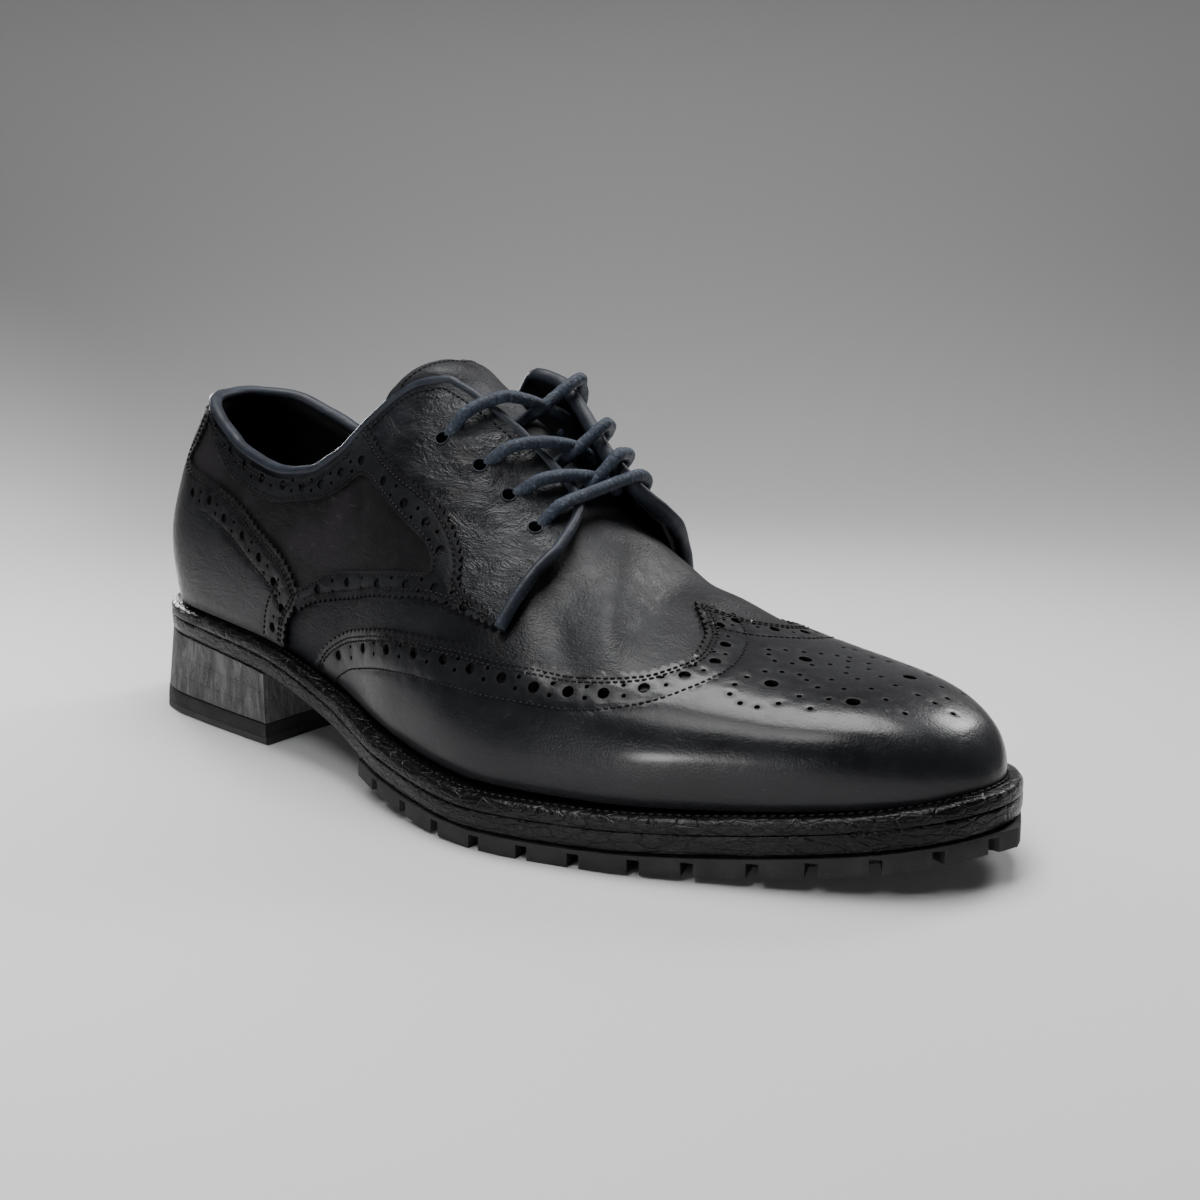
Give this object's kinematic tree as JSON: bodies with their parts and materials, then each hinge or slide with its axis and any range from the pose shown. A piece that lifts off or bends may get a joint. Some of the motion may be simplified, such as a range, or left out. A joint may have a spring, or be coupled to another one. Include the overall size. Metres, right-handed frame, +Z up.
{
  "type": "full brogue derby shoe",
  "caption": "Right full brogue derby in dark grey leather, winged toe cap and punched bands, stacked heel, lugged rubber half sole, round laces.",
  "frame": {"origin": "middle of the bounding box at the floor", "axes": "+X from the heel to the toe, +Y to the inner (medial) side of this right shoe, +Z up"},
  "size_m": [0.3064, 0.1132, 0.115],
  "materials": {
    "leather": "dark aniline leather, polished on the toe and heel, duller on the quarters",
    "lining": "smooth leather lining, matt",
    "binding": "slate navy leather binding, semi-gloss",
    "edge": "blackened welt and midsole edge, cracked gloss",
    "stack": "stacked leather heel, scuffed grey, matt",
    "rubber": "black rubber, matt",
    "lace": "round waxed navy lace, worn"
  },
  "bodies": {
    "root": {"upper": "leather", "toe_cap": "leather", "heel_counter": "leather", "quarter_band_lateral": "leather", "quarter_band_medial": "leather", "collar_binding": "binding", "tongue": "leather", "insole": "lining", "welt": "edge", "midsole": "edge", "outsole_tread": "rubber", "heel_stack": "stack", "heel_top_piece": "rubber", "lace_cross_1": "lace", "lace_cross_2": "lace", "lace_cross_3": "lace", "lace_bar": "lace"}
  },
  "joints": []
}
